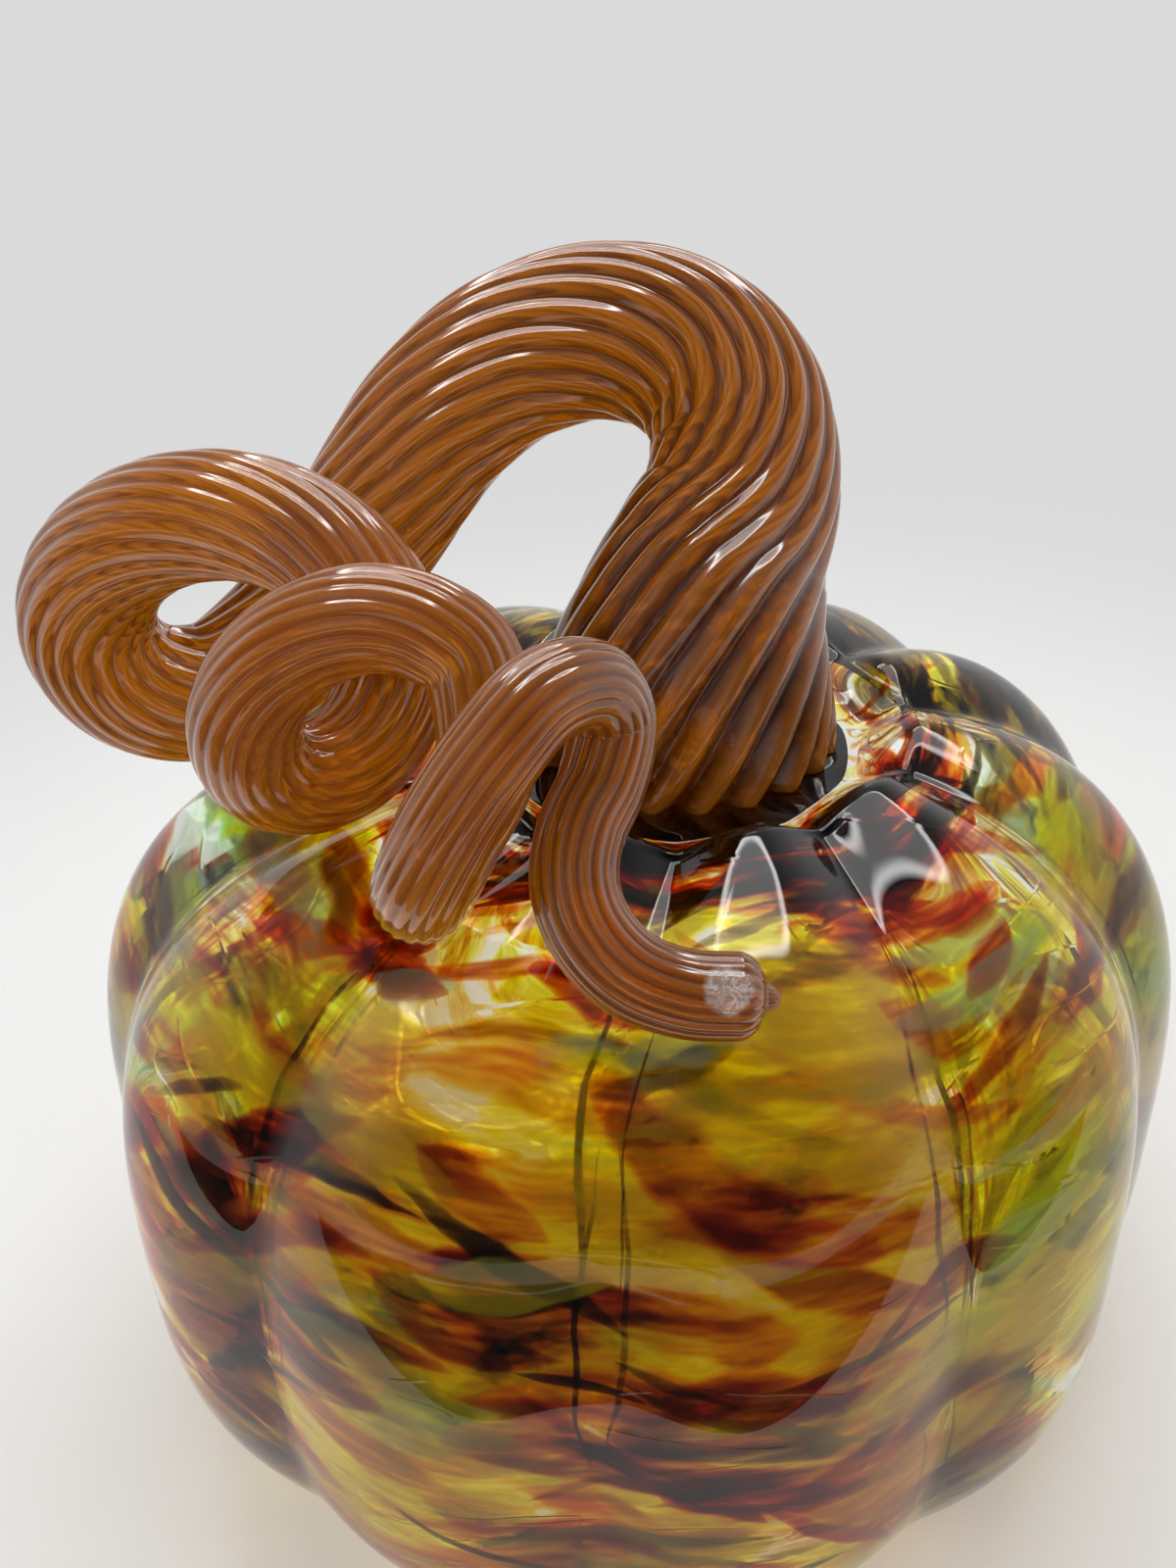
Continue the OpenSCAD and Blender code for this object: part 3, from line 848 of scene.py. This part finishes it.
def ribbed_stem_tree():
    """Sweeps a ribbed, tapering, twisting rod along a route, with a spread foot and a nipple at the end."""
    sizes = ["Ribs", "Foot width", "Stem width", "Tip width", "Foot length", "Taper", "Groove depth",
             "Rib turns", "Twist gather"]
    counts = ["Rings", "Tip rings", "Around"]
    tree, given = new_tree("Ribbed stem", {
        "Route": "Geometry", **dict.fromkeys(counts, "Int"), **dict.fromkeys(sizes, "Float"),
        "Glass": "Material"})
    value = {label: Field(tree, given[label]) for label in counts + sizes}
    line = put(tree, "GeometryNodeMeshToCurve", {0: given["Route"]}).outputs[0]
    curve = put(tree, "GeometryNodeCurveSplineType", {0: line}, spline_type="CATMULL_ROM").outputs[0]
    curve = put(tree, "GeometryNodeSetSplineResolution", {
        "Geometry": curve, "Resolution": route_steps}).outputs[0]
    length = Field(tree, put(tree, "GeometryNodeCurveLength", {0: curve}).outputs[0])
    sheet, ring, step = grid_of(tree, value["Rings"], value["Around"] + 1.0)
    tip_r = value["Tip width"] * 0.5
    rod = length - tip_r
    rod_rings = value["Rings"] - 2.0 - value["Tip rings"]
    along_rod = ((ring - 1.0).math("MAXIMUM", 0.0) / rod_rings).math("MINIMUM", 1.0)
    along_tip = ((ring - 1.0 - rod_rings) / value["Tip rings"]).math("MAXIMUM", 0.0)
    run = along_rod * rod + (along_tip * (pi / 2)).math("SINE") * tip_r
    path = put(tree, "GeometryNodeSampleCurve", {"Curves": curve, "Factor": run / length}, mode="FACTOR")
    down = (run / rod).math("MINIMUM", 1.0)
    upright = (run / value["Foot length"]).math("MINIMUM", 1.0)
    aim = put(tree, "ShaderNodeMix", {0: upright, 4: (0.0, 0.0, 1.0), 5: path.outputs["Tangent"]},
              data_type="VECTOR").outputs[1]
    aim = vector(tree, "NORMALIZE", aim)
    side = vector(tree, "CROSS_PRODUCT", path.outputs["Normal"], aim)
    side = vector(tree, "NORMALIZE", vector(tree, "CROSS_PRODUCT", aim, side))
    other = vector(tree, "CROSS_PRODUCT", aim, side)
    thin = value["Tip width"] + (value["Stem width"] - value["Tip width"]) * (1.0 - down).math(
        "POWER", value["Taper"])
    spread = run / value["Foot length"]
    flare = (value["Foot width"] - value["Stem width"]) * (spread * spread * -1.0).math("EXPONENT")
    past = ((run - rod) / tip_r).math("MAXIMUM", 0.0)
    domed = past / dome_share
    dome = (1.0 - domed * domed).math("MAXIMUM", 0.0).math("SQRT")
    nipple = (1.0 - past * past).math("MAXIMUM", 0.0).math("SQRT") * nipple_share
    ends = ring.math("MINIMUM", value["Rings"] - 1.0 - ring).math("MINIMUM", 1.0)
    radius = (thin + flare) * 0.5 * dome.math("MAXIMUM", nipple) * ends
    around = step / value["Around"] * (2 * pi)
    uneven = sum((around * waves + run * drift).math("SINE") * sway for waves, drift, sway in rib_sways)
    wave = (around * value["Ribs"] * 0.5 + uneven).math("SINE")
    groove = 1.0 - (wave * wave + rib_round).math("SQRT")
    toe = 1.0 + (spread * spread * -toe_reach).math("EXPONENT") * toe_depth
    calm = tip_groove + (1.0 - down) * (1.0 - tip_groove)
    radius = radius * (1.0 - groove * value["Groove depth"] / (value["Stem width"] * 0.5) * toe * calm)
    gathered = 1.0 - (1.0 - down).math("POWER", value["Twist gather"])
    turn = gathered * value["Rib turns"] * (2 * pi) - around
    to_side = vector(tree, "SCALE", side, Scale=radius * turn.math("COSINE"))
    to_other = vector(tree, "SCALE", other, Scale=radius * turn.math("SINE"))
    place = vector(tree, "ADD", vector(tree, "ADD", path.outputs["Position"], to_side), to_other)
    last = put(tree, "GeometryNodeSetPosition", {"Geometry": sheet, "Position": place}).outputs[0]
    last = mark(tree, last, "rib", 1.0 - groove)
    last = mark(tree, last, "run", run)
    last = put(tree, "GeometryNodeMergeByDistance", {"Geometry": last, "Distance": merge_gap}).outputs[0]
    last = put(tree, "GeometryNodeSetShadeSmooth", {"Geometry": last}).outputs[0]
    finish_tree(tree, last, [(given["Glass"], None)])
    return tree


def stem_glass():
    """Brown glass under a fire-polished skin. Its darker grooves and paler crests are partly its own tone,
    partly painted groove shade and crest sheen; its middle loops are paler with painted light.
    Near the tip it has the frosted scar where the shears or the iron let go of it."""
    material, tree, output = new_material("stem_glass")
    place = put(tree, "ShaderNodeTexCoord").outputs["Object"]
    rib = on_surface(tree, "rib")
    run = on_surface(tree, "run")
    clouds = noise(tree, place, cloud_scale, 3.0, 0.55, 0.6)
    grain = noise(tree, place, grain_scale, 3.0, 0.6)
    thick = (1.0 - run / thick_length).math("MAXIMUM", 0.0)
    # Painted light: the tone rises over loops two and three and falls below its start on the tail.
    pale = ranged(tree, run, *loop_light_run[:2]) - ranged(tree, run, *loop_light_run[2:]) * loop_light_fall
    # Painted shade in the grooves and painted sheen on the crests, more of both where the stem is thick.
    crest = rib * (rib_shade_and_sheen + thick * thick_rib_shade_and_sheen)
    tone = crest + clouds * cloud_tone + grain * grain_tone - thick * thick_shade + pale * loop_light_tone
    brown = ramp_of(tree, tone, stem_browns)
    away = put(tree, "ShaderNodeVectorMath", {0: place, 1: scar_middle}, operation="DISTANCE")
    ragged = Field(tree, away.outputs["Value"]) + (grain - 0.5) * scar_ragged
    scar = ranged(tree, ragged, scar_r, scar_r * scar_edge)
    lines = (noise(tree, place, crack_scale, 2.0, 0.5, 0.8) - 0.5).math("ABSOLUTE")
    cracks = (lines * crack_sharpness).math("MINIMUM", 1.0)
    frosted = scar * (frost_share[0] + cracks * frost_share[1])
    bump = put(tree, "ShaderNodeBump", {
        "Strength": skin_wave_share, "Distance": skin_wave, "Height": clouds + frosted * frost_rise})
    glass = put(tree, "ShaderNodeBsdfPrincipled", {
        "Base Color": mixed(tree, frosted, brown.outputs[0], scar_white), "Roughness": 0.16,
        "IOR": glass_bend, "Specular IOR Level": 0.1, "Transmission Weight": 0.72,
        "Coat Weight": 1.0, "Coat Roughness": 0.02, "Coat IOR": 1.55, "Normal": bump.outputs[0]})
    join(tree, glass.outputs[0], output.inputs[0])
    return material


seat_line = wall_line(np.array([crest_length]), np.array([0.0]))
seat_middle = np.array([seat_line["middle_x"][0], seat_line["middle_y"][0], seat_z])
stem_route = [*arch_route, *[curl_point(degrees) for degrees in curl_degrees], *tail_route]
stem_points = [seat_middle + np.array(point) * millimetre for point in stem_route]
stem = grown("stem", point_line("stem_route", stem_points, {}), ribbed_stem_tree(), {
    "Rings": stem_rings, "Tip rings": tip_rings, "Around": stem_ribs * points_per_rib,
    "Ribs": float(stem_ribs), "Foot width": stem_foot_w, "Stem width": stem_w, "Tip width": tip_w,
    "Foot length": foot_length, "Taper": stem_taper, "Groove depth": groove_depth,
    "Rib turns": rib_turns, "Twist gather": twist_gather, "Glass": stem_glass()})
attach(stem, "root")
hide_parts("stem")


# Studio: a plain pale table without an end, soft white light all round, a light box above that is
# brightest along its rim, a dark card that only the glass mirrors, and the photograph's camera angle.
floor_size = 40.0
floor_z = -0.0003
near_floor = 0.14
far_floor = 0.42
table_grain = 6.0
table_tones = ((0.79, 0.79, 0.785), (0.82, 0.82, 0.815))
far_tone = (0.70, 0.705, 0.70, 1.0)
square = ((-1, -1), (1, -1), (1, 1), (-1, 1))
# The light box, the sky, the dark card and the fill
lamp_middle = (0.02, 0.20, 0.52)
lamp_half = (0.21, 0.17)
panel_glow = ((0.70, (0.22, 0.22, 0.22)), (0.86, (1.0, 1.0, 1.0)), (1.0, (0.0, 0.0, 0.0)))
panel_steps = 64
panel_rings = 40
panel_first_ring = 0.02
panel_square = 0.5
lamp_power = 11.0
sky_light = 0.52
sky_seen = 0.70
sky_back = 0.80
sky_front = 0.08
sky_top = 0.40
front_to_back = (-0.55, 0.1)
side_to_top = (0.35, 0.75)
card_reach = (-0.60, -0.13)
card_half_w = 0.5
card_z = 0.001
card_grain = 9.0
card_tones = ((0.05, 0.05, 0.05), (0.08, 0.08, 0.08))
fill_place = (-0.15, -0.50, 0.60)
fill_size = 0.5
fill_power = 2.1


def seen_straight(tree):
    """1 where the camera, a mirror or clear glass looks, 0 where light falls on a matt surface."""
    rays = put(tree, "ShaderNodeLightPath").outputs
    direct = Field(tree, rays["Is Camera Ray"]).math("MAXIMUM", Field(tree, rays["Is Glossy Ray"]))
    return direct.math("MAXIMUM", Field(tree, rays["Is Transmission Ray"]))


def table_top():
    """Pale matt table near the object, which runs out into an even pale distance."""
    material, tree, output = new_material("table_top")
    place = put(tree, "ShaderNodeTexCoord").outputs["Object"]
    tone = mixed(tree, noise(tree, place, table_grain, 3.0), *table_tones)
    matt = put(tree, "ShaderNodeBsdfPrincipled", {"Base Color": tone, "Roughness": 0.7})
    distance = put(tree, "ShaderNodeVectorMath", {0: place}, operation="LENGTH").outputs["Value"]
    far = put(tree, "ShaderNodeMapRange", {0: distance, 1: near_floor, 2: far_floor},
              interpolation_type="SMOOTHSTEP").outputs[0]
    pale = put(tree, "ShaderNodeEmission", {"Color": far_tone, "Strength": 1.0})
    mix = put(tree, "ShaderNodeMixShader", {
        0: Field(tree, far) * seen_straight(tree), 1: matt.outputs[0], 2: pale.outputs[0]})
    join(tree, mix.outputs[0], output.inputs[0])
    return material


floor_mesh = bpy.data.meshes.new("floor")
floor_mesh.from_pydata([(x * floor_size, y * floor_size, floor_z) for x, y in square], [], [(0, 1, 2, 3)])
floor_mesh.materials.append(table_top())
floor = bpy.data.objects.new("floor", floor_mesh)
bpy.context.scene.collection.objects.link(floor)

world = bpy.data.worlds.new("soft_light")
world.use_nodes = True
sky_tree = world.node_tree
sky = sky_tree.nodes["Background"]
sky.inputs[0].default_value = (1.0, 1.0, 1.0, 1.0)
sky_way = split(sky_tree, put(sky_tree, "ShaderNodeTexCoord").outputs["Generated"])
to_back = ranged(sky_tree, sky_way[1], *front_to_back, sky_front, sky_back)
to_top = ranged(sky_tree, sky_way[2], *side_to_top, 1.0, sky_top)
sky_rays = put(sky_tree, "ShaderNodeLightPath").outputs
camera_ray, glossy_ray, glass_ray = [
    Field(sky_tree, sky_rays[label]) for label in ("Is Camera Ray", "Is Glossy Ray", "Is Transmission Ray")]
looked_at = camera_ray.math("MAXIMUM", glass_ray)
mirrored = glossy_ray * (to_back * to_top - sky_light)
join(sky_tree, sky_light + looked_at * (sky_seen - sky_light) + mirrored, sky.inputs[1])
bpy.context.scene.world = world


def lamp_panel():
    """A soft panel facing down, brightest along its rim, as a light box with lamps round its edge."""
    material, tree, output = new_material("lamp_panel")
    glow = ramp_of(tree, on_surface(tree, "reach"), panel_glow)
    glow.color_ramp.interpolation = "EASE"
    upward = Field(tree, put(tree, "ShaderNodeNewGeometry").outputs["Backfacing"])
    light = put(tree, "ShaderNodeEmission", {
        "Color": glow.outputs[0], "Strength": upward * -lamp_power + lamp_power})
    join(tree, light.outputs[0], output.inputs[0])
    rings = np.linspace(panel_first_ring, 1.0, panel_rings)
    turns = np.arange(panel_steps) * 2 * pi / panel_steps
    rim_x = lamp_half[0] * np.sign(np.cos(turns)) * np.abs(np.cos(turns)) ** panel_square
    rim_y = lamp_half[1] * np.sign(np.sin(turns)) * np.abs(np.sin(turns)) ** panel_square
    points = [(lamp_middle[0] + r * x, lamp_middle[1] + r * y, lamp_middle[2])
              for r in rings for x, y in zip(rim_x, rim_y)]
    faces = [tuple(reversed(range(panel_steps)))]
    for i, k in itertools.product(range(panel_rings - 1), range(panel_steps)):
        a = i * panel_steps + k
        b = i * panel_steps + (k + 1) % panel_steps
        faces.append((a, b, b + panel_steps, a + panel_steps))
    mesh = bpy.data.meshes.new("lamp_panel")
    mesh.from_pydata(points, [], faces)
    mesh.attributes.new("reach", "FLOAT", "POINT").data.foreach_set(
        "value", np.repeat(rings, panel_steps).astype(np.float32))
    mesh.materials.append(material)
    lamp = bpy.data.objects.new("lamp_panel", mesh)
    bpy.context.scene.collection.objects.link(lamp)
    return lamp


def dark_card():
    """A dark card on the table in front, below the picture, which only the glass mirrors."""
    material, tree, output = new_material("dark_card")
    place = put(tree, "ShaderNodeTexCoord").outputs["Object"]
    tone = mixed(tree, noise(tree, place, card_grain, 2.0), *card_tones)
    matt = put(tree, "ShaderNodeBsdfPrincipled", {"Base Color": tone, "Roughness": 0.9})
    join(tree, matt.outputs[0], output.inputs[0])
    mesh = bpy.data.meshes.new("dark_card")
    corners = ((-1, 0), (1, 0), (1, 1), (-1, 1))
    mesh.from_pydata([(x * card_half_w, card_reach[y], card_z) for x, y in corners], [], [(0, 1, 2, 3)])
    mesh.materials.append(material)
    card = bpy.data.objects.new("dark_card", mesh)
    card.visible_camera = False
    card.visible_diffuse = False
    card.visible_shadow = False
    bpy.context.scene.collection.objects.link(card)
    return card


lamp_panel()
dark_card()

fill = bpy.data.lights.new("front_fill", "AREA")
fill.shape = "DISK"
fill.size = fill_size
fill.energy = fill_power
fill_lamp = bpy.data.objects.new("front_fill", fill)
fill_lamp.location = fill_place
fill_lamp.rotation_euler = (-Vector(fill_place)).to_track_quat("-Z", "Y").to_euler()
fill_lamp.visible_glossy = False
bpy.context.scene.collection.objects.link(fill_lamp)

# The camera, as fitted to the photograph
camera_place = (-0.00043, -0.16286, 0.19527)
camera_pitch = 0.545
camera_yaw = -0.021
camera_roll = -0.051
camera_reach = 1418.655
photo_height = 1600

forward = cos(camera_pitch)
aim = Vector((sin(camera_yaw) * forward, cos(camera_yaw) * forward, -sin(camera_pitch)))
level_right = aim.cross(Vector((0, 0, 1))).normalized()
level_up = level_right.cross(aim)
right = cos(camera_roll) * level_right + sin(camera_roll) * level_up
up = cos(camera_roll) * level_up - sin(camera_roll) * level_right
lens = bpy.data.cameras.new("camera")
lens.sensor_fit = "AUTO"
lens.sensor_width = 36.0
lens.lens = lens.sensor_width * camera_reach / photo_height
lens.clip_start = 0.01
camera = bpy.data.objects.new("camera", lens)
camera.matrix_world = Matrix((right, up, -aim)).transposed().to_4x4()
camera.location = camera_place
bpy.context.scene.collection.objects.link(camera)
bpy.context.scene.camera = camera
bpy.context.scene.view_settings.view_transform = "Standard"
bpy.context.scene.cycles.transparent_max_bounces = 32
bpy.context.scene.cycles.max_bounces = 10
bpy.context.scene.cycles.diffuse_bounces = 1
bpy.context.scene.cycles.transmission_bounces = 10
